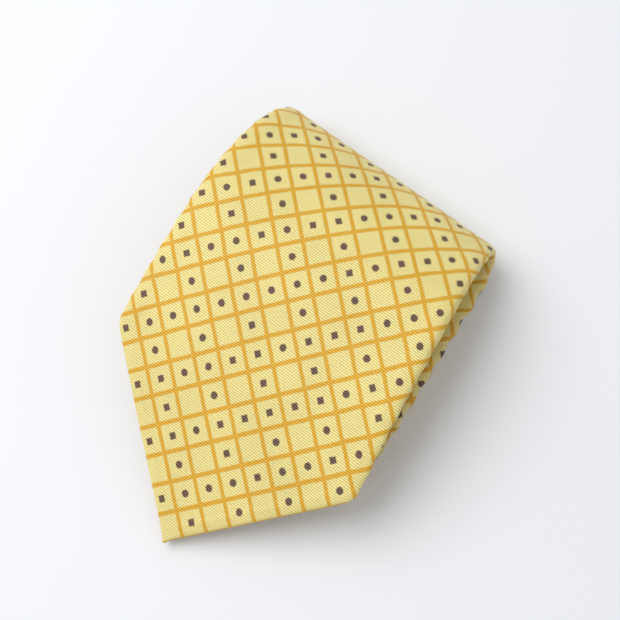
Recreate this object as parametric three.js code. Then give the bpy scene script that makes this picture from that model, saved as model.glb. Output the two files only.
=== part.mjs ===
import * as THREE from "three";

// A silk necktie rolled up for keeping, with the end of its front blade laid over the roll.
// X runs across the blade, Y along it from its point towards the fold, and Z is up.
// Every piece is swept along one path: the tie's outer face, from the blade's point (s = 0),
// up over the flap, round the fold, and inwards turn by turn to the tail's point.
// The tie was rolled a little askew, so its turns lean across the fold by the skew angle.

// Driving dimensions, in millimetres and degrees.
const bladeWidth = 88;
const neckWidth = 36;
const tailWidth = 44;
const neckStart = 540;
const taperPower = 1.6;
const neckEnd = 900;
const flapLength = 105;
const flapSlope = 16;
const skewAngle = 8.5;
const foldRadius = 16.5;
const rollFront = 61;
const smallestTurn = 1.6;

// The tie is thick in the blade, where it carries its lining, and thin in the neck.
const blade = { thickness: 2.3, cloth: 0.35, clearance: 0.25, core: 0.6 };
const neck = { thickness: 1.1, cloth: 0.25, clearance: 0.15, core: 0.3 };
const wrapClearance = 0.2;
const jointClearance = 0.3;

// Trimmings.
const tailPointHalf = 0.6;
const narrowestLining = 0.2;
const mostTurnedIn = 0.6;
const hem = 10;
const hemSpread = 50;
const seamMeetToFold = 13;
const seamGap = 0.5;
const lining = 0.25;
const keeper = { width: 46, height: 16, thickness: 0.35, clearance: 0.2, place: 178 };
const label = { width: 18, length: 20, thickness: 0.2, place: 30 };
const tack = { width: 8, length: 2, thickness: 0.25, clearance: 0.15, fromTail: 44 };
const bladePanelEnd = 400;
const tailPanelLength = 330;
const coreStart = 3;
const coreInset = 1.2;
const liningInset = 1.5;
const tailLiningLength = 60;
const tipStart = 1;
const taperStart = keeper.place + keeper.height + 4;
const taperLength = 15;

// The turned-in edges meet a little before the fold starts.
const seamMeet = flapLength - seamMeetToFold;

const radians = THREE.MathUtils.degToRad;
const lerp = THREE.MathUtils.lerp;
const slope = radians(flapSlope);
const shoulder = bladeWidth / 2;
const tailShoulder = tailWidth / 2;

// A turn's outer face lies one thickness and one clearance inside the turn before it.
const firstStep = blade.thickness + keeper.thickness + 2 * keeper.clearance;
const innerStep = neck.thickness + wrapClearance;

// The tie is wound in until the next turn would be too tight.
const turns = 1 + Math.floor((foldRadius - firstStep - smallestTurn) / innerStep);

function turnRadius(turn) {
  return turn === 0 ? foldRadius : foldRadius - firstStep - (turn - 1) * innerStep;
}

// The path is drawn as a pen moves: straight ahead, or round a bend to the right.
const path = [];
const pen = { y: 0, z: 0, heading: slope, s: 0 };

function mark() {
  path.push({ ...pen });
}

function forward(length, steps) {
  const from = { ...pen };
  for (let i = 1; i <= steps; i += 1) {
    const travelled = (length * i) / steps;
    pen.y = from.y + travelled * Math.cos(from.heading);
    pen.z = from.z + travelled * Math.sin(from.heading);
    pen.s = from.s + travelled;
    mark();
  }
}

function bend(radius, angle, steps) {
  const from = { ...pen };
  const centreY = from.y + radius * Math.sin(from.heading);
  const centreZ = from.z - radius * Math.cos(from.heading);
  for (let i = 1; i <= steps; i += 1) {
    pen.heading = from.heading - (angle * i) / steps;
    pen.y = centreY - radius * Math.sin(pen.heading);
    pen.z = centreZ + radius * Math.cos(pen.heading);
    pen.s = from.s + (radius * angle * i) / steps;
    mark();
  }
}

// The front bend of a turn touches its bottom line and the next turn's top line, and lies
// inside the turn before it, until it would be too tight: then it moves back instead.
function frontBend(turn, reach) {
  const outer = turnRadius(turn);
  const next = turnRadius(turn + 1);
  const lean = (next + outer * Math.cos(slope)) / Math.sin(slope);
  const pull = (1 + Math.cos(slope)) / Math.sin(slope);
  const radius = Math.max((lean - reach) / (pull - 1), smallestTurn);
  return { radius, back: lean - pull * radius };
}

const bendSteps = 9;
const flapSteps = 15;
const bottomSteps = 6;
const innerSteps = 2;
pen.y = -foldRadius * Math.sin(slope) - flapLength * Math.cos(slope);
pen.z = foldRadius + foldRadius * Math.cos(slope) - flapLength * Math.sin(slope);
mark();
forward(flapLength, flapSteps);
let reach = rollFront;
for (let turn = 0; turn < turns; turn += 1) {
  bend(turnRadius(turn), Math.PI + slope, bendSteps);
  const front = frontBend(turn, reach);
  const centreHeight = foldRadius - turnRadius(turn) + front.radius;
  const topRun = front.back * Math.cos(slope) + (foldRadius - centreHeight) * Math.sin(slope);
  forward(front.back, turn === 0 ? bottomSteps : innerSteps);
  if (turn === turns - 1) break;
  bend(front.radius, Math.PI - slope, bendSteps);
  forward(topRun, innerSteps);
  reach -= turn === 0 ? firstStep : innerStep;
}
const tieLength = pen.s;

const rounding = 1e-9;

function at(s) {
  const after = Math.max(path.findIndex((place) => place.s >= s - rounding), 1);
  const a = path[after - 1];
  const b = path[after];
  const part = (s - a.s) / (b.s - a.s);
  return {
    s,
    y: lerp(a.y, b.y, part),
    z: lerp(a.z, b.z, part),
    heading: lerp(a.heading, b.heading, part),
  };
}

const closestStations = 0.4;

function stations(from, to, extra = []) {
  const between = (s) => s > from + closestStations && s < to - closestStations;
  const inside = path.map((place) => place.s).filter(between);
  const wanted = extra.filter(between);
  const kept = inside.filter((s) => wanted.every((other) => Math.abs(other - s) > closestStations));
  return [from, ...kept, ...wanted, to].sort((a, b) => a - b).map(at);
}

// Half the tie's width: a right-angled point, a long taper, an even neck, a small tail.
function halfWidth(s) {
  const frontShare = Math.max((s - shoulder) / (neckStart - shoulder), 0);
  const front = lerp(shoulder, neckWidth / 2, frontShare ** taperPower);
  const tailShare = (s - neckEnd) / (tieLength - tailShoulder - neckEnd);
  const back = lerp(neckWidth / 2, tailShoulder, Math.max(tailShare, 0));
  const body = s < neckStart ? front : back;
  return Math.min(s, body, Math.max(tieLength - s, tailPointHalf));
}

function build(s) {
  const share = THREE.MathUtils.clamp((s - taperStart) / taperLength, 0, 1);
  return {
    thickness: lerp(blade.thickness, neck.thickness, share),
    cloth: lerp(blade.cloth, neck.cloth, share),
    clearance: lerp(blade.clearance, neck.clearance, share),
    core: lerp(blade.core, neck.core, share),
  };
}

// How far the silk turns in over the back from each edge.
function turnedIn(s) {
  const half = halfWidth(s);
  const meeting = half - seamGap;
  const share = THREE.MathUtils.clamp((s - hemSpread) / (seamMeet - hemSpread), 0, 1);
  return Math.max(Math.min(lerp(hem, meeting, share), mostTurnedIn * half), share * meeting);
}

// Sections are outlines of [across, depth] points, with depth 0 on the outer face, in
// anticlockwise order, which faces back along the path.
function shellSection(s) {
  const { thickness, cloth } = build(s);
  const half = halfWidth(s);
  const lip = half - turnedIn(s);
  const wall = half - cloth;
  return [
    [lip, -thickness], [half, -thickness], [half, 0], [-half, 0], [-half, -thickness],
    [-lip, -thickness], [-lip, cloth - thickness], [-wall, cloth - thickness],
    [-wall, -cloth], [wall, -cloth], [wall, cloth - thickness], [lip, cloth - thickness],
  ];
}

function plate(half, top, thickness) {
  return [[half, top], [-half, top], [-half, top - thickness], [half, top - thickness]];
}

function coreSection(s) {
  const { cloth, clearance, core } = build(s);
  return plate(halfWidth(s) - coreInset, -cloth - clearance, core);
}

function bladeLiningSection(s) {
  const { cloth, clearance, core } = build(s);
  return plate(halfWidth(s) - liningInset, -cloth - 2 * clearance - core, lining);
}

function tailLiningSection(s) {
  const { cloth, clearance, core } = build(s);
  return plate(Math.max(halfWidth(s) - liningInset, narrowestLining), -cloth - clearance, core);
}

function keeperSection(s) {
  return plate(keeper.width / 2, -build(s).thickness - keeper.clearance, keeper.thickness);
}

function labelSection(s) {
  const { cloth, clearance, core } = build(s);
  const face = -cloth - 2 * clearance - core - lining - neck.clearance;
  return plate(label.width / 2, face, label.thickness);
}

function tackSection(s) {
  return plate(tack.width / 2, -build(s).thickness - tack.clearance, tack.thickness);
}

const silk = { color: 0xf0dc96, roughness: 0.5, metalness: 0 };
const wool = { color: 0xe9e4d6, roughness: 0.95, metalness: 0 };
const liningCloth = { color: 0xe2c878, roughness: 0.4, metalness: 0 };
const thread = { color: 0xd9b45a, roughness: 0.7, metalness: 0 };
const ribbon = { color: 0xf2efe6, roughness: 0.6, metalness: 0 };

const group = new THREE.Group();

// One closed solid: the section swept through the stations, with both ends capped.
function sweep(name, rings, section, finish) {
  const positions = [];
  const indices = [];
  const outlines = rings.map((ring) => section(ring.s));
  const count = outlines[0].length;
  rings.forEach((ring, r) => {
    for (const [across, depth] of outlines[r]) {
      const y = ring.y - depth * Math.sin(ring.heading);
      const z = ring.z + depth * Math.cos(ring.heading);
      positions.push(across - y * Math.tan(radians(skewAngle)), y, z);
    }
  });
  for (let r = 0; r + 1 < rings.length; r += 1) {
    for (let i = 0; i < count; i += 1) {
      const a = r * count + i;
      const b = r * count + ((i + 1) % count);
      indices.push(a, b + count, b, a, a + count, b + count);
    }
  }
  const last = (rings.length - 1) * count;
  const flat = (outline) => outline.map(([across, depth]) => new THREE.Vector2(across, depth));
  for (const [a, b, c] of THREE.ShapeUtils.triangulateShape(flat(outlines[0]), [])) {
    indices.push(a, b, c);
  }
  for (const [a, b, c] of THREE.ShapeUtils.triangulateShape(flat(outlines.at(-1)), [])) {
    indices.push(last + a, last + c, last + b);
  }
  const geometry = new THREE.BufferGeometry();
  geometry.setAttribute("position", new THREE.Float32BufferAttribute(positions, 3));
  geometry.setIndex(indices);
  geometry.computeVertexNormals();
  const mesh = new THREE.Mesh(geometry, new THREE.MeshStandardMaterial(finish));
  mesh.name = name;
  group.add(mesh);
}

// The flap, which lifts at the start of the fold.
const flapEnd = flapLength - jointClearance / 2;
const rollStart = flapLength + jointClearance / 2;
sweep("blade_shell_flap", stations(tipStart, flapEnd, [shoulder, hemSpread, seamMeet]),
  shellSection, silk);
sweep("interlining_flap", stations(coreStart, flapEnd, [shoulder]), coreSection, wool);
sweep("blade_tipping", stations(coreStart, seamMeet, [shoulder]), bladeLiningSection, liningCloth);
sweep("care_label", stations(label.place, label.place + label.length), labelSection, ribbon);
sweep("blade_bar_tack", stations(seamMeet, seamMeet + tack.length), tackSection, thread);

// The roll: the silk in three joined panels, the one long interlining, and the trimmings.
const taperEnds = [taperStart, taperStart + taperLength];
const tailPanelStart = tieLength - tailPanelLength;
const tailPoint = tieLength - tailShoulder;
const tailLiningStart = tieLength - tailLiningLength;
const seams = [rollStart, bladePanelEnd, tailPanelStart, tieLength - tipStart];
const panels = ["blade_shell_roll", "neck_shell", "tail_shell"];
panels.forEach((name, i) => {
  const from = i === 0 ? seams[i] : seams[i] + jointClearance;
  const marks = [...taperEnds, neckStart, neckEnd, tailPoint];
  sweep(name, stations(from, seams[i + 1], marks), shellSection, silk);
});
sweep("interlining_roll",
  stations(rollStart, tailLiningStart - jointClearance, [...taperEnds, neckStart, neckEnd]),
  coreSection, wool);
sweep("tail_tipping", stations(tailLiningStart, tieLength - coreStart, [tailPoint]),
  tailLiningSection, liningCloth);
sweep("keeper_loop", stations(keeper.place, keeper.place + keeper.height), keeperSection, silk);
const tailTack = tieLength - tack.fromTail;
sweep("tail_bar_tack", stations(tailTack, tailTack + tack.length), tackSection, thread);

// The origin is under the middle of the box that holds the tie, where it rests.
const extent = new THREE.Box3().setFromObject(group);
const centre = extent.getCenter(new THREE.Vector3());
group.children.forEach((mesh) => mesh.position.set(-centre.x, -centre.y, -extent.min.z));

export default group;
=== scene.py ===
"""A rolled silk necktie with the end of its front blade laid over the roll.

The cloth is swept along one path, as the CAD model's is: the tie's outer face, from the blade's point,
up over the flap, round the fold, and inwards turn by turn. Lengths are in millimetres until place() turns
them into metres. The words across, depth and s mean a point's place in the tie's width, its depth below
the outer face (so it is negative), and its distance along the tie from the blade's point.
"""
import math

import bmesh
import bpy
import numpy as np
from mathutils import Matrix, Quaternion, Vector


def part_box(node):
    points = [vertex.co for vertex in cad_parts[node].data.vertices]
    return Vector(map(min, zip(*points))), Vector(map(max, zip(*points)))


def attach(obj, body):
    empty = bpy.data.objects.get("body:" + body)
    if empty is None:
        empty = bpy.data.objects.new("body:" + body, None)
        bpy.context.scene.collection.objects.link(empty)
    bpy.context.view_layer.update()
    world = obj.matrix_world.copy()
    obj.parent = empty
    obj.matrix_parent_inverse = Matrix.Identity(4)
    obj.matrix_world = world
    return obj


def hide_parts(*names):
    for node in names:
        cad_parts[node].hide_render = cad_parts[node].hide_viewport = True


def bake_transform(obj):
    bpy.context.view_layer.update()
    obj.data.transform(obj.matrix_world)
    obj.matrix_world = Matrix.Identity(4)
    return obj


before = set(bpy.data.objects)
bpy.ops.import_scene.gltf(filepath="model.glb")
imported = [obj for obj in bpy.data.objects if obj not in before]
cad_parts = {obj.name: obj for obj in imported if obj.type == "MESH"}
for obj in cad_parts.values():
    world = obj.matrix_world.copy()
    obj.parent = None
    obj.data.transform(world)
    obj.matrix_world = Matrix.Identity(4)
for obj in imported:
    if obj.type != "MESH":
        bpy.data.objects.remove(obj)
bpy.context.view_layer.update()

MM = 0.001

# The camera stands where the photograph's did, to the right of the tie's point and above it.
CAMERA_PLACE = Vector((98.6, -52.6, 348.3)) * MM
CAMERA_AIM = Vector((3.4, 16.6, 15.0)) * MM
CAMERA_ROLL = math.radians(-15.3)
CAMERA_LENS = 69.7
SENSOR_WIDTH = 36.0

# The tie's sizes. The taper's power and the neck's two thicknesses are a little under the CAD model's.
BLADE_WIDTH = 88.0
NECK_WIDTH = 36.0
TAIL_WIDTH = 44.0
NECK_START = 540.0
NECK_END = 900.0
TAPER_POWER = 1.15
BLADE_THICKNESS = 2.3
NECK_THICKNESS = 0.95
HEM = 10.0
HEM_SPREAD = 50.0
SEAM_MEET = 92.0
SEAM_GAP = 0.5
BLADE_PANEL_END = 400.0
TAIL_PANEL_LENGTH = 330.0
TAIL_LINING_LENGTH = 60.0
KEEPER_PLACE = 178.0
KEEPER_LENGTH = 16.0
KEEPER_WIDTH = 46.0
KEEPER_THICKNESS = 0.35
LABEL_PLACE = 30.0
LABEL_LENGTH = 20.0
LABEL_WIDTH = 18.0
TACK_WIDTH = 8.0
TACK_LENGTH = 2.0
TAIL_TACK_PLACE = 44.0
TAPER_START = KEEPER_PLACE + KEEPER_LENGTH + 4
TAPER_LENGTH = 15.0
PANEL_GAP = 0.3
POINT_START = 0.05
CORE_START = 3.0

# Each layer's depth, in the blade and then in the neck.
CLOTH = 0.35, 0.25
LAYER_GAP = 0.25, 0.15
CORE = 0.6, 0.22
TIPPING_THICKNESS = 0.25
LABEL_THICKNESS = 0.2
LABEL_GAP = 0.4
KEEPER_GAP = 0.2

# Stitching: the space between stitches, and each thread's radius.
SEAM_STITCH_PITCH = 7.0
HEM_STITCH_PITCH = 2.6
SEAM_THREAD = 0.13
HEM_THREAD = 0.11
BLADE_TACK_THREAD = 0.16
TAIL_TACK_THREAD = 0.07

# How the flap rises and curls over into the fold, and how the turns lie inside it. A turn is INNER_STEP
# further in than the last one, and the tie steps SIDESTEP to the right as it comes round the fold.
SKEW = math.tan(math.radians(8))
FLAP_SLOPE = math.radians(22)
CURL_RUN = 135.5
CURL_TURN = math.radians(74.3)
CURL_POWER = 3.2
TURN_SLOPE = math.radians(8)
TURN_RADIUS = 10.1
TURN_CENTRE = 45.5
FIRST_STEP = 3.05
INNER_STEP = 1.05
FRONT_REACH = -17.0
TIGHTEST = 1.6
SIDESTEP = 3.1
DRIFT = 1.5
TILT = 0.025
LEVEL_ACROSS = 18.0

# The CAD flap starts 1 mm behind the blade's point, rises at 16 degrees, leans at 8.5, and is widest at
# its shoulders, half a blade's width from the point.
CAD_SLOPE = math.radians(16)
CAD_SKEW = math.tan(math.radians(8.5))
flap_low, flap_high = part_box("blade_shell_flap")
SHOULDER = BLADE_WIDTH / 2
TIP_X = flap_high.x / MM - SHOULDER + CAD_SKEW * SHOULDER * math.cos(CAD_SLOPE)
TIP_Y = flap_low.y / MM - math.cos(CAD_SLOPE)
TIP_Z = 3.4


class Pen:
    """Draws the path in small steps: straight ahead, or round a bend to the right."""

    STEP = 0.5

    def __init__(self, y, z, heading):
        self.y, self.z, self.heading, self.s = y, z, heading, 0.0
        self.marks = [(0.0, y, z, heading)]

    def step(self, length, turn):
        middle = self.heading - turn / 2
        self.y += length * math.cos(middle)
        self.z += length * math.sin(middle)
        self.heading -= turn
        self.s += length
        self.marks.append((self.s, self.y, self.z, self.heading))

    def forward(self, length):
        steps = max(math.ceil(length / self.STEP), 1)
        for _ in range(steps):
            self.step(length / steps, 0.0)

    def bend(self, radius, angle):
        steps = max(math.ceil(radius * angle / self.STEP), 12)
        chord = 2 * radius * math.sin(angle / steps / 2)
        for _ in range(steps):
            self.step(chord, angle / steps)


def draw_path():
    """The outer face's line, and how far along it the fold ends."""
    pen = Pen(TIP_Y, TIP_Z, FLAP_SLOPE)
    steps = int(CURL_RUN / Pen.STEP)
    for i in range(steps):
        before, after = (i / steps) ** CURL_POWER, ((i + 1) / steps) ** CURL_POWER
        pen.step(CURL_RUN / steps, CURL_TURN * (after - before))
    fold_radius = pen.z / (1 + math.cos(pen.heading))
    pen.bend(fold_radius, math.pi + pen.heading)
    fold_end = pen.s

    rise, run = math.sin(TURN_SLOPE), math.cos(TURN_SLOPE)
    centre_z = TURN_RADIUS + FIRST_STEP
    pull = (1 + run) / rise
    outer, reach, bottom = None, FRONT_REACH, 0.0
    while True:
        inner = TURN_RADIUS if outer is None else outer - INNER_STEP
        lean = (inner + run * (centre_z - bottom)) / rise
        bend = max((reach - TURN_CENTRE + lean) / (pull - 1), TIGHTEST)
        front = TURN_CENTRE - lean + pull * bend
        if inner < TIGHTEST or front > TURN_CENTRE - 1:
            pen.forward(8.0)
            break
        pen.forward(pen.y - front)
        pen.bend(bend, math.pi - TURN_SLOPE)
        pen.forward((TURN_CENTRE - front) * run + (centre_z - bottom - bend) * rise)
        pen.bend(inner, math.pi + TURN_SLOPE)
        reach += FIRST_STEP if outer is None else INNER_STEP
        outer, bottom = inner, centre_z - inner
    return np.array(pen.marks), fold_end


PATH, FOLD_END = draw_path()
TIE_LENGTH = PATH[-1, 0]
TAIL_PANEL_START = TIE_LENGTH - TAIL_PANEL_LENGTH


def smooth(value, low, high):
    share = np.clip((value - low) / (high - low), 0, 1)
    return share * share * (3 - 2 * share)


def lerp(a, b, share):
    return a + (b - a) * share


# How the points and the shoulders are rounded.
POINT_ROUNDING = 0.3
CORNER_REACH = 3
CORNER_CUT = 0.75


def half_width(s):
    """A right-angled point with a rounded tip and shoulders, a long taper, a neck, and a small tail."""
    past = max((s - SHOULDER) / (NECK_START - SHOULDER), 0)
    front = lerp(SHOULDER, NECK_WIDTH / 2, past**TAPER_POWER)
    tail = max((s - NECK_END) / (TIE_LENGTH - TAIL_WIDTH / 2 - NECK_END), 0)
    body = front if s < NECK_START else lerp(NECK_WIDTH / 2, TAIL_WIDTH / 2, tail)
    point = math.sqrt(s * s + POINT_ROUNDING)
    end = math.sqrt(max(TIE_LENGTH - s, 0) ** 2 + POINT_ROUNDING)
    side = min(point, end)
    closeness = max(CORNER_REACH - abs(side - body), 0) / CORNER_REACH
    return min(side, body) - closeness**2 * CORNER_CUT


def neck_share(s):
    """0 where the tie is as thick as the blade, 1 where it is as thin as the neck."""
    return float(np.clip((s - TAPER_START) / TAPER_LENGTH, 0, 1))


def thickness(s):
    return lerp(BLADE_THICKNESS, NECK_THICKNESS, neck_share(s))


def layers(s):
    """The silk's thickness, the gap under it, and the interlining's thickness."""
    share = neck_share(s)
    return lerp(*CLOTH, share), lerp(*LAYER_GAP, share), lerp(*CORE, share)


def turned_in(s):
    """How far the silk turns in over the back from each edge."""
    half = half_width(s)
    meeting = half - SEAM_GAP
    share = float(np.clip((s - HEM_SPREAD) / (SEAM_MEET - HEM_SPREAD), 0, 1))
    return max(min(lerp(HEM, meeting, share), 0.6 * half), share * meeting)


# The unevenness: how much padded cloth rises, and how much its edges wave where they are sewn.
SWELL = 0.22
RIPPLE = 0.07
FLAP_PUCKER = 0.0035
ROLL_PUCKER = 0.008


def swell(s, across):
    """The soft unevenness of padded cloth, as a rise of the whole thickness."""
    slow = SWELL * np.sin(s / 19 + across / 23) * np.sin(across / 15 + 1.3)
    quick = RIPPLE * np.sin(s / 6.1 - across / 8.3 + 0.7)
    return (slow + quick) * smooth(s, 4, 30) * (1 - smooth(s, FOLD_END - 30, FOLD_END + 20))


def sideways(s, y):
    """The tie leans across the roll, steps to the right as it comes round the fold, and drifts on."""
    stepped = SIDESTEP * smooth(s, FOLD_END - 32, FOLD_END + 8) + DRIFT * smooth(s, FOLD_END, FOLD_END + 60)
    return TIP_X - SKEW * (y - TIP_Y) + stepped


def place(s, across, depth):
    """A point of the tie in the row frame, in metres. across and depth are arrays of one shape."""
    across, depth = np.asarray(across, float), np.asarray(depth, float)
    y, z, heading = (np.interp(s, PATH[:, 0], PATH[:, i]) for i in (1, 2, 3))
    depth = depth + swell(s, across)
    in_roll = smooth(s, FOLD_END - 20, FOLD_END + 5) * (1 - smooth(s, 215, 230))
    pucker = FLAP_PUCKER + ROLL_PUCKER * in_roll
    edge = 1 + pucker * np.sin(s / 1.35) * smooth(s, 20, 60)
    x = across * edge + sideways(s, y)
    tilt = TILT * (across - LEVEL_ACROSS) * (1 - smooth(s, 105, 150))
    points = np.stack([x, y + tilt - depth * math.sin(heading), z + depth * math.cos(heading)], -1)
    points[..., 2] = np.maximum(points[..., 2], 0.0)
    return points * MM


def new_object(name, points, faces, material, uvs=None):
    mesh = bpy.data.meshes.new(name)
    mesh.from_pydata([tuple(p) for p in points], [], faces)
    if uvs is not None:
        layer = mesh.uv_layers.new(name="cloth")
        corners = np.empty(len(mesh.loops), int)
        mesh.loops.foreach_get("vertex_index", corners)
        layer.data.foreach_set("uv", np.asarray(uvs, np.float32)[corners].ravel())
    tidy = bmesh.new()
    tidy.from_mesh(mesh)
    bmesh.ops.recalc_face_normals(tidy, faces=tidy.faces)
    tidy.to_mesh(mesh)
    tidy.free()
    mesh.shade_smooth()
    mesh.set_sharp_from_angle(angle=math.radians(50))
    mesh.materials.append(material)
    piece = bpy.data.objects.new(name, mesh)
    bpy.context.scene.collection.objects.link(piece)
    return piece


def sweep(name, places, section, material):
    """One closed solid. section(s) gives an outer and an inner line of [across, depth] points and the
    distance of each point across the cloth, which becomes the map's first coordinate."""
    points, uvs = [], []
    for s in places:
        outer, inner, developed = section(s)
        ring = np.concatenate([outer, inner[::-1]])
        points.append(place(s, ring[:, 0], ring[:, 1]))
        uvs.append(np.stack([np.concatenate([developed, developed[::-1]]), np.full(len(ring), s)], -1))
    count = len(points[0])
    width = count // 2
    faces = []
    for r in range(len(places) - 1):
        for i in range(count):
            a, b = r * count + i, r * count + (i + 1) % count
            faces.append((a, b, b + count, a + count))
    last = (len(places) - 1) * count
    for start in (0, last):
        for i in range(width - 1):
            faces.append((start + i, start + i + 1, start + count - 2 - i, start + count - 1 - i))
    return new_object(name, np.concatenate(points), faces, material, np.concatenate(uvs))


def stops(start, end, spacing, fine_start=False):
    """Places along the tie, with closer ones where it starts in a point."""
    inside = list(np.linspace(start, end, max(int((end - start) / spacing), 2) + 1))
    if fine_start:
        inside += [start + 0.25, start + 0.5, start + 0.8]
    return sorted(inside)


# Sections. The flap's edges puff out near the fold, and a ridge shows where the hem lies underneath.
POUCH = 0.9
HEM_RIDGE = 0.2
RIDGE_INSET = 4.2
RIDGE_WIDTH = 1.3
EDGE_POINTS = 9
FACE_POINTS = 72
BACK_POINTS = 12
PLATE_POINTS = 24
NARROWEST = 0.3


def developed_length(line):
    lengths = np.linalg.norm(np.diff(line, axis=0), axis=1)
    travelled = np.concatenate([[0], np.cumsum(lengths)])
    return travelled - travelled[-1] / 2


def silk_section(s):
    """A flat tube of cloth with rolled edges, open along the middle of its back."""
    half, deep, cloth = half_width(s), thickness(s), layers(s)[0]
    roll = min(deep * 0.95, 0.45 * half)
    lip = half - turned_in(s)
    angles = np.linspace(0, math.pi, EDGE_POINTS)
    back = np.linspace(max(lip, 0.05), half - roll, BACK_POINTS)[:-1]
    puffed = POUCH * smooth(s, 55, 100) * (1 - smooth(s, 125, 150))
    pouch = puffed * np.sin(2 * np.minimum(angles, math.pi / 2))
    edge_across = half - roll + roll * np.sin(angles) + pouch
    edge_depth = -deep / 2 - deep / 2 * np.cos(angles)
    inner_across = half - roll + (roll - cloth) * np.sin(angles) + pouch
    inner_depth = -deep / 2 - (deep / 2 - cloth) * np.cos(angles)
    face = np.linspace(half - roll, roll - half, FACE_POINTS)[1:-1]
    ridge = HEM_RIDGE * np.exp(-(((half - np.abs(face) - RIDGE_INSET) / RIDGE_WIDTH) ** 2))
    ridge = ridge * min(half / 10, 1)

    def whole(across, depth, inset):
        right_across = np.concatenate([back, across])
        right_depth = np.concatenate([np.full(len(back), -deep + inset), depth])
        crossing = np.concatenate([right_across, face, -right_across[::-1]])
        sunk = np.concatenate([right_depth, ridge - inset, right_depth[::-1]])
        return np.stack([crossing, sunk], -1)

    outer = whole(edge_across, edge_depth, 0.0)
    inner = whole(inner_across, inner_depth, cloth)
    return outer, inner, -developed_length(outer)


def plate_section(half, top, deep):
    """A flat layer with softly rounded edges."""
    across = np.linspace(half, -half, PLATE_POINTS)
    rounding = np.sqrt(np.clip(1 - (np.abs(across) / half) ** 12, 0.04, 1))
    middle = top - deep / 2
    outer = np.stack([across, middle + deep / 2 * rounding], -1)
    inner = np.stack([across, middle - deep / 2 * rounding], -1)
    return outer, inner, across


def core_section(s):
    cloth, gap, core = layers(s)
    return plate_section(max(half_width(s) - thickness(s) * 0.8, NARROWEST), -cloth - gap, core)


def tipping_section(s):
    cloth, gap, core = layers(s)
    half = max(half_width(s) - thickness(s) * 0.9, NARROWEST)
    return plate_section(half, -cloth - 2 * gap - core, TIPPING_THICKNESS)


def tail_tipping_section(s):
    cloth, gap, core = layers(s)
    return plate_section(max(half_width(s) - thickness(s), NARROWEST), -cloth - gap, core)


def keeper_section(s):
    return plate_section(KEEPER_WIDTH / 2, -thickness(s) - KEEPER_GAP, KEEPER_THICKNESS)


def label_section(s):
    cloth, gap, core = layers(s)
    return plate_section(LABEL_WIDTH / 2, -cloth - 2 * gap - core - LABEL_GAP, LABEL_THICKNESS)


# Threads.
def thread(line, radius, sides=6):
    """A thin tube with closed ends through points of the row frame."""
    line = np.asarray(line, float)
    ahead = np.gradient(line, axis=0)
    ahead /= np.linalg.norm(ahead, axis=1, keepdims=True)
    helper = np.where(np.abs(ahead[:, 2:3]) > 0.9, [[1.0, 0, 0]], [[0, 0, 1.0]])
    right = np.cross(ahead, helper)
    right /= np.linalg.norm(right, axis=1, keepdims=True)
    up = np.cross(right, ahead)
    turn = np.linspace(0, 2 * math.pi, sides, endpoint=False)
    swelling = np.full(len(line), radius)
    swelling[[0, -1]] *= 0.55
    rings = [
        p + w * (np.outer(np.cos(turn), r) + np.outer(np.sin(turn), u))
        for p, w, r, u in zip(line, swelling, right, up)
    ]
    points = np.concatenate(rings)
    faces = []
    for k in range(len(line) - 1):
        for i in range(sides):
            a, b = k * sides + i, k * sides + (i + 1) % sides
            faces.append((a, b, b + sides, a + sides))
    faces.append(tuple(range(sides)))
    faces.append(tuple(range(len(points) - sides, len(points))))
    return points, faces


def threads(name, lines, radius, material):
    points, faces, used = [], [], 0
    for line in lines:
        more, sides = thread(line, radius)
        points.append(more)
        faces += [tuple(i + used for i in face) for face in sides]
        used += len(more)
    return new_object(name, np.concatenate(points), faces, material)


def stitch(s_from, across_from, s_to, across_to, depths, lift):
    """A short stitch that arches off the cloth's back. depths are those of its two ends."""
    share = np.linspace(0, 1, 5)
    arch = lerp(*depths, share) - lift * np.sin(share * math.pi)
    along = lerp(s_from, s_to, share)
    sides = lerp(across_from, across_to, share)
    return [place(a, c, d) for a, c, d in zip(along, sides, arch)]


def seam_stitches(start, end):
    """The slip stitching that closes the back, leaning alternately."""
    lines = []
    for i, s in enumerate(np.arange(start, end, SEAM_STITCH_PITCH)):
        side = 1.1 if i % 2 else -1.1
        depth = -thickness(s) + 0.08
        lines.append(stitch(s, -side, s + 2.6, side, (depth, depth), 0.22))
    return lines


def hem_stitches():
    """Small stitches that hold the lining to the turned silk along the point and up to the seam."""
    lines = []
    for s in np.arange(13.0, SEAM_MEET - 4, HEM_STITCH_PITCH):
        lip = half_width(s) - turned_in(s)
        if lip < 1.2:
            continue
        for side in (1, -1):
            depths = -thickness(s) + 0.05, -thickness(s) + 0.55
            lines.append(stitch(s, side * (lip + 0.7), s + 0.5, side * (lip - 0.8), depths, 0.12))
    return lines


def tack_lines(start, depth, lift):
    """A bar tack: threads laid side by side across the seam, with wraps over them."""
    lines = []
    end = start + TACK_LENGTH
    for s in np.linspace(start, end, 7):
        lines.append(stitch(s, -TACK_WIDTH / 2, s, TACK_WIDTH / 2, (depth, depth), lift / 2))
    for across in np.linspace(-TACK_WIDTH / 2 + 0.4, TACK_WIDTH / 2 - 0.4, 9):
        lines.append(stitch(start - 0.3, across, end + 0.3, across + 0.25, (depth, depth), lift))
    return lines


# Materials.
FLOOR_COLOUR = 0.86, 0.86, 0.87


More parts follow.
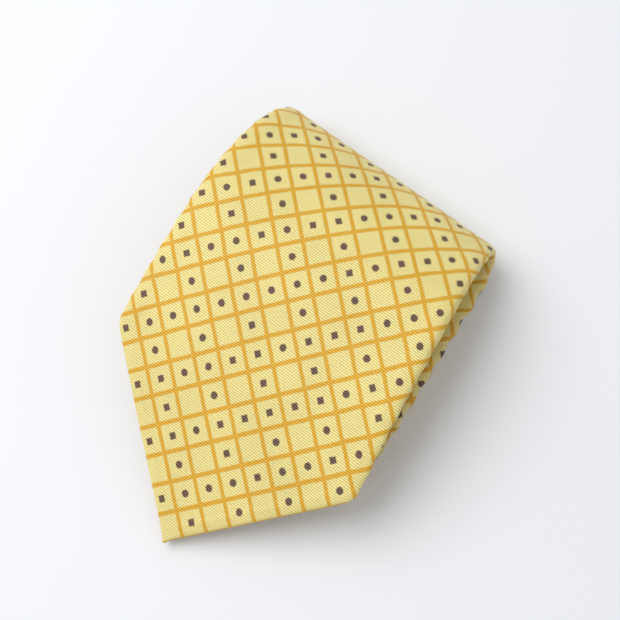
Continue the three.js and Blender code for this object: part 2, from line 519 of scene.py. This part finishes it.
class Nodes:
    """Writes formulas as shader nodes."""

    def __init__(self, name, roughness, sheen, sheen_roughness=0.4, specular=0.5):
        self.material = bpy.data.materials.new(name)
        self.material.use_nodes = True
        self.tree = self.material.node_tree
        self.shader = self.tree.nodes["Principled BSDF"]
        self.shader.inputs["Roughness"].default_value = roughness
        self.shader.inputs["Sheen Weight"].default_value = sheen
        self.shader.inputs["Sheen Roughness"].default_value = sheen_roughness
        self.shader.inputs["Specular IOR Level"].default_value = specular

    def feed(self, socket, value):
        if isinstance(value, bpy.types.NodeSocket):
            self.tree.links.new(value, socket)
        else:
            socket.default_value = value

    def math(self, operation, *values):
        node = self.tree.nodes.new("ShaderNodeMath")
        node.operation = operation
        for socket, value in zip(node.inputs, values):
            self.feed(socket, value)
        return node.outputs[0]

    def cloth_map(self):
        """The distance across the cloth and along it, in millimetres."""
        uv = self.tree.nodes.new("ShaderNodeUVMap")
        uv.uv_map = "cloth"
        parts = self.tree.nodes.new("ShaderNodeSeparateXYZ")
        self.tree.links.new(uv.outputs[0], parts.inputs[0])
        return parts.outputs[0], parts.outputs[1], uv.outputs[0]

    def object_map(self):
        return self.tree.nodes.new("ShaderNodeTexCoord").outputs["Object"]

    def noise(self, vector, scale, detail=2.0):
        node = self.tree.nodes.new("ShaderNodeTexNoise")
        node.inputs["Scale"].default_value = scale
        node.inputs["Detail"].default_value = detail
        self.tree.links.new(vector, node.inputs["Vector"])
        return node.outputs["Fac"]

    def combine(self, x, y):
        node = self.tree.nodes.new("ShaderNodeCombineXYZ")
        self.feed(node.inputs[0], x)
        self.feed(node.inputs[1], y)
        return node.outputs[0]

    def random(self, vector):
        node = self.tree.nodes.new("ShaderNodeTexWhiteNoise")
        node.noise_dimensions = "2D"
        self.tree.links.new(vector, node.inputs["Vector"])
        return node.outputs["Value"]

    def below(self, value, limit, soft):
        """1 where value is under limit, 0 above it, with a soft edge."""
        node = self.tree.nodes.new("ShaderNodeMapRange")
        node.interpolation_type = "SMOOTHSTEP"
        self.feed(node.inputs["Value"], value)
        node.inputs["From Min"].default_value = limit - soft
        node.inputs["From Max"].default_value = limit + soft
        node.inputs["To Min"].default_value = 1.0
        node.inputs["To Max"].default_value = 0.0
        return node.outputs["Result"]

    def stretch(self, value, low, high):
        """Noise about 0.5 to a value from low to high."""
        node = self.tree.nodes.new("ShaderNodeMapRange")
        self.feed(node.inputs["Value"], value)
        node.inputs["From Min"].default_value = 0.3
        node.inputs["From Max"].default_value = 0.7
        node.inputs["To Min"].default_value = low
        node.inputs["To Max"].default_value = high
        return node.outputs["Result"]

    def mix(self, share, a, b):
        node = self.tree.nodes.new("ShaderNodeMix")
        node.data_type = "RGBA"
        self.feed(node.inputs["Factor"], share)
        self.feed(node.inputs[6], a)
        self.feed(node.inputs[7], b)
        return node.outputs[2]

    def scale_colour(self, colour, value):
        node = self.tree.nodes.new("ShaderNodeVectorMath")
        node.operation = "SCALE"
        self.feed(node.inputs[0], colour)
        self.feed(node.inputs["Scale"], value)
        return node.outputs[0]

    def finish(self, colour, height, distance):
        self.tree.links.new(colour, self.shader.inputs["Base Color"])
        bump = self.tree.nodes.new("ShaderNodeBump")
        bump.inputs["Strength"].default_value = 1.0
        bump.inputs["Distance"].default_value = distance * MM
        self.tree.links.new(height, bump.inputs["Height"])
        self.tree.links.new(bump.outputs[0], self.shader.inputs["Normal"])
        return self.material


def rgb(red, green, blue):
    return (red, green, blue, 1.0)


def silk_material():
    """Cream silk twill, woven with gold checks and brown spots, round or square as the weave falls."""
    pitch = 8.0
    diagonal = pitch * math.sqrt(2)
    line_width = 0.155
    spot_radius = 0.135
    squareness = 1.12
    grid_i, grid_j = -4.35, 5.45
    twill_period = 0.67
    n = Nodes("silk", 0.45, 0.05, 0.35, 0.22)
    t, s, uv = n.cloth_map()
    i = n.math("ADD", n.math("DIVIDE", n.math("ADD", s, t), diagonal), grid_i)
    j = n.math("ADD", n.math("DIVIDE", n.math("SUBTRACT", t, s), diagonal), grid_j)

    ragged = n.math("MULTIPLY", n.math("SUBTRACT", n.noise(uv, 2.2, 3.0), 0.5), 0.07)

    def from_spot(axis):
        return n.math("ADD", n.math("SUBTRACT", n.math("FRACT", n.math("ADD", axis, 0.5)), 0.5), ragged)

    off_i, off_j = from_spot(i), from_spot(j)
    far_i, far_j = n.math("ABSOLUTE", off_i), n.math("ABSOLUTE", off_j)
    to_line = n.math("SUBTRACT", 0.5, n.math("MAXIMUM", far_i, far_j))
    line = n.below(to_line, line_width / 2, 0.022)

    cell_i, cell_j = n.math("ROUND", i), n.math("ROUND", j)
    odd_i = n.math("ABSOLUTE", n.math("MODULO", cell_i, 2.0))
    odd_j = n.math("ABSOLUTE", n.math("MODULO", cell_j, 2.0))
    blank = n.math("MULTIPLY", n.math("SUBTRACT", 1.0, odd_i), odd_j)
    squares = n.math("MULTIPLY", off_i, off_i), n.math("MULTIPLY", off_j, off_j)
    round_gap = n.math("SQRT", n.math("ADD", *squares))
    square_gap = n.math("MULTIPLY", n.math("MAXIMUM", far_i, far_j), squareness)
    squared = n.math("GREATER_THAN", n.random(n.combine(cell_i, cell_j)), 0.5)
    gap = n.math("ADD", n.math("MULTIPLY", square_gap, squared),
                 n.math("MULTIPLY", round_gap, n.math("SUBTRACT", 1.0, squared)))
    spot = n.math("MULTIPLY", n.below(gap, spot_radius, 0.02), n.math("SUBTRACT", 1.0, blank))

    # The twill's ridges run straight across the tie, and the gold and brown show between them.
    wander = n.math("MULTIPLY", n.noise(uv, 0.6, 2.0), 0.5)
    phase = n.math("MULTIPLY", n.math("ADD", s, wander), 2 * math.pi / twill_period)
    ridge = n.math("ADD", n.math("MULTIPLY", n.math("SINE", phase), 0.5), 0.5)
    yarn = n.noise(n.combine(n.math("MULTIPLY", t, 1.1), n.math("MULTIPLY", s, 5.0)), 1.0, 3.0)

    cream = n.mix(ridge, rgb(0.65, 0.48, 0.115), rgb(0.99, 0.90, 0.42))
    gold = n.mix(ridge, rgb(0.56, 0.27, 0.012), rgb(0.90, 0.52, 0.06))
    brown = n.mix(ridge, rgb(0.05, 0.028, 0.018), rgb(0.25, 0.15, 0.10))
    colour = n.mix(line, cream, gold)
    colour = n.mix(spot, colour, brown)
    shade = n.math("MULTIPLY", n.stretch(yarn, 0.87, 1.08), n.stretch(n.noise(uv, 0.045, 2.0), 0.95, 1.04))
    colour = n.scale_colour(colour, shade)
    proud = n.math("ADD", n.math("MULTIPLY", line, 0.5), n.math("MULTIPLY", spot, 0.7))
    height = n.math("ADD", n.math("ADD", ridge, n.math("MULTIPLY", yarn, 0.5)), proud)
    return n.finish(colour, height, 0.05)


def weave_material(name, light, dark, pitch, roughness, sheen, depth, specular=0.4):
    """A plain weave of the given thread pitch in millimetres, with a slow change of shade."""
    n = Nodes(name, roughness, sheen, specular=specular)
    t, s, uv = n.cloth_map()
    turn = 2 * math.pi / pitch
    warp = n.math("SINE", n.math("MULTIPLY", t, turn))
    weft = n.math("SINE", n.math("MULTIPLY", s, turn))
    over = n.math("ADD", n.math("MULTIPLY", n.math("MULTIPLY", warp, weft), 0.5), 0.5)
    colour = n.mix(over, rgb(*dark), rgb(*light))
    colour = n.scale_colour(colour, n.stretch(n.noise(uv, 0.35, 4.0), 0.92, 1.06))
    height = n.math("ADD", over, n.noise(uv, 3.0, 3.0))
    return n.finish(colour, height, depth)


def ribbon_material():
    """A woven label's ribbon: cream satin with a gold line near each selvedge, and nothing written on it."""
    n = Nodes("ribbon", 0.5, 0.2)
    t, s, uv = n.cloth_map()
    rib_period = 0.45
    border_inset = 1.8
    wave = n.math("SINE", n.math("MULTIPLY", s, 2 * math.pi / rib_period))
    rib = n.math("ADD", n.math("MULTIPLY", wave, 0.5), 0.5)
    to_line = n.math("ABSOLUTE", n.math("SUBTRACT", n.math("ABSOLUTE", t), LABEL_WIDTH / 2 - border_inset))
    border = n.below(to_line, 0.35, 0.08)
    colour = n.mix(rib, rgb(0.70, 0.66, 0.56), rgb(0.86, 0.83, 0.74))
    colour = n.mix(border, colour, rgb(0.62, 0.38, 0.08))
    colour = n.scale_colour(colour, n.stretch(n.noise(uv, 1.2, 3.0), 0.94, 1.05))
    return n.finish(colour, rib, 0.04)


def thread_material():
    """Gold sewing thread, twisted."""
    n = Nodes("thread", 0.5, 0.3)
    place_map = n.object_map()
    twist = n.noise(place_map, 2600.0, 2.0)
    colour = n.mix(twist, rgb(0.50, 0.29, 0.05), rgb(0.80, 0.56, 0.16))
    return n.finish(colour, twist, 0.05)


def floor_material():
    """Pale and plain, with the faintest change of shade."""
    n = Nodes("floor", 0.7, 0.0, specular=0.3)
    grain = n.noise(n.object_map(), 3.0, 3.0)
    colour = n.scale_colour(FLOOR_COLOUR, n.stretch(grain, 0.99, 1.01))
    n.tree.links.new(colour, n.shader.inputs["Base Color"])
    return n.material


# The studio, in metres.
FLOOR_REACH = 1.5
FLOOR_LEVEL = -0.0002
SKY_COLOUR = 0.93, 0.96, 1.0, 1.0
SKY_STRENGTH = 0.60
KEY_PLACE = -0.46, -0.10, 0.80
KEY_SIZE = 0.9
KEY_POWER = 6.0


def make_camera():
    camera = bpy.data.objects.new("camera", bpy.data.cameras.new("camera"))
    bpy.context.scene.collection.objects.link(camera)
    camera.data.lens = CAMERA_LENS
    camera.data.sensor_width = SENSOR_WIDTH
    camera.location = CAMERA_PLACE
    facing = (CAMERA_AIM - CAMERA_PLACE).to_track_quat("-Z", "Y")
    camera.rotation_mode = "QUATERNION"
    camera.rotation_quaternion = facing @ Quaternion((0, 0, 1), CAMERA_ROLL)
    bpy.context.scene.camera = camera


def make_light(name, where, size, power):
    lamp = bpy.data.lights.new(name, "AREA")
    lamp.shape = "DISK"
    lamp.size = size
    lamp.energy = power
    light = bpy.data.objects.new(name, lamp)
    light.location = where
    light.rotation_euler = (-Vector(where)).to_track_quat("-Z", "Y").to_euler()
    bpy.context.scene.collection.objects.link(light)


def make_studio():
    mesh = bpy.data.meshes.new("floor")
    reach, low = FLOOR_REACH, FLOOR_LEVEL
    corners = [(-reach, -reach, low), (reach, -reach, low), (reach, reach, low), (-reach, reach, low)]
    mesh.from_pydata(corners, [], [(0, 1, 2, 3)])
    mesh.materials.append(floor_material())
    floor = bpy.data.objects.new("floor", mesh)
    bpy.context.scene.collection.objects.link(floor)
    world = bpy.data.worlds.new("studio")
    world.use_nodes = True
    sky = world.node_tree.nodes["Background"]
    sky.inputs["Color"].default_value = SKY_COLOUR
    sky.inputs["Strength"].default_value = SKY_STRENGTH
    bpy.context.scene.world = world
    make_light("key", KEY_PLACE, KEY_SIZE, KEY_POWER)
    bpy.context.scene.view_settings.view_transform = "Standard"


def lift(piece):
    """Bakes the piece's placement into its mesh."""
    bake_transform(piece)


def cut(section, places):
    """The flat size of what is swept, and its area, in metres."""
    widths = []
    for s in places:
        line = section(s)[0]
        widths.append(np.linalg.norm(np.diff(line, axis=0), axis=1).sum() * MM)
    along = np.asarray(places) * MM
    area = float(((np.array(widths[1:]) + widths[:-1]) / 2 * np.diff(along)).sum())
    return (max(widths), float(along[-1] - along[0])), area


def cloth_piece(name, places, section, material, node):
    piece = sweep(name, places, section, material)
    if node:
        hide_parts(node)
    flat, area = cut(section, places)
    return piece


def thread_piece(name, lines, radius, node=None):
    piece = threads(name, lines, radius * MM, THREAD)
    if node:
        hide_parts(node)
    return piece


make_camera()
make_studio()
SILK = silk_material()
WOOL = weave_material("wool", (0.80, 0.76, 0.66), (0.55, 0.50, 0.40), 0.9, 0.95, 0.1, 0.15)
LINING = weave_material("lining", (0.78, 0.55, 0.18), (0.62, 0.40, 0.10), 0.35, 0.35, 0.25, 0.03)
RIBBON = ribbon_material()
THREAD = thread_material()

flap_places = stops(POINT_START, FOLD_END, 1.5, fine_start=True)
lift(cloth_piece("blade_silk_flap", flap_places, silk_section, SILK, "blade_shell_flap"))
lift(cloth_piece("flap_interlining", stops(CORE_START, FOLD_END, 2.5), core_section, WOOL,
                 "interlining_flap"))
lift(cloth_piece("flap_tipping", stops(CORE_START, SEAM_MEET, 2.0), tipping_section, LINING,
                 "blade_tipping"))
lift(cloth_piece("flap_label", stops(LABEL_PLACE, LABEL_PLACE + LABEL_LENGTH, 1.0), label_section,
                 RIBBON, "care_label"))
lift(thread_piece("flap_seam_stitches", seam_stitches(SEAM_MEET + 6, FOLD_END - 4), SEAM_THREAD))
lift(thread_piece("flap_hem_stitches", hem_stitches(), HEM_THREAD))
blade_tack = tack_lines(SEAM_MEET, -BLADE_THICKNESS, 0.36)
lift(thread_piece("flap_bar_tack", blade_tack, BLADE_TACK_THREAD, "blade_bar_tack"))

tail_tack = tack_lines(TIE_LENGTH - TAIL_TACK_PLACE, -NECK_THICKNESS + 0.04, 0.06)
rolled = [
    cloth_piece("blade_silk_roll", stops(FOLD_END, BLADE_PANEL_END, 2.0), silk_section, SILK,
                "blade_shell_roll"),
    cloth_piece("neck_silk", stops(BLADE_PANEL_END + PANEL_GAP, TAIL_PANEL_START, 2.5), silk_section, SILK,
                "neck_shell"),
    cloth_piece("tail_silk", stops(TAIL_PANEL_START + PANEL_GAP, TIE_LENGTH - POINT_START, 2.5),
                silk_section, SILK, "tail_shell"),
    cloth_piece("roll_interlining", stops(FOLD_END, TIE_LENGTH - TAIL_LINING_LENGTH - PANEL_GAP, 3.0),
                core_section, WOOL, "interlining_roll"),
    cloth_piece("tail_lining", stops(TIE_LENGTH - TAIL_LINING_LENGTH, TIE_LENGTH - CORE_START, 2.5),
                tail_tipping_section, LINING, "tail_tipping"),
    cloth_piece("keeper_strip", stops(KEEPER_PLACE, KEEPER_PLACE + KEEPER_LENGTH, 1.0), keeper_section,
                SILK, "keeper_loop"),
    thread_piece("roll_seam_stitches", seam_stitches(FOLD_END + 3, KEEPER_PLACE - 4), SEAM_THREAD),
    thread_piece("tail_bar_stitches", tail_tack, TAIL_TACK_THREAD, "tail_bar_tack"),
]
for piece in rolled:
    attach(piece, "roll")
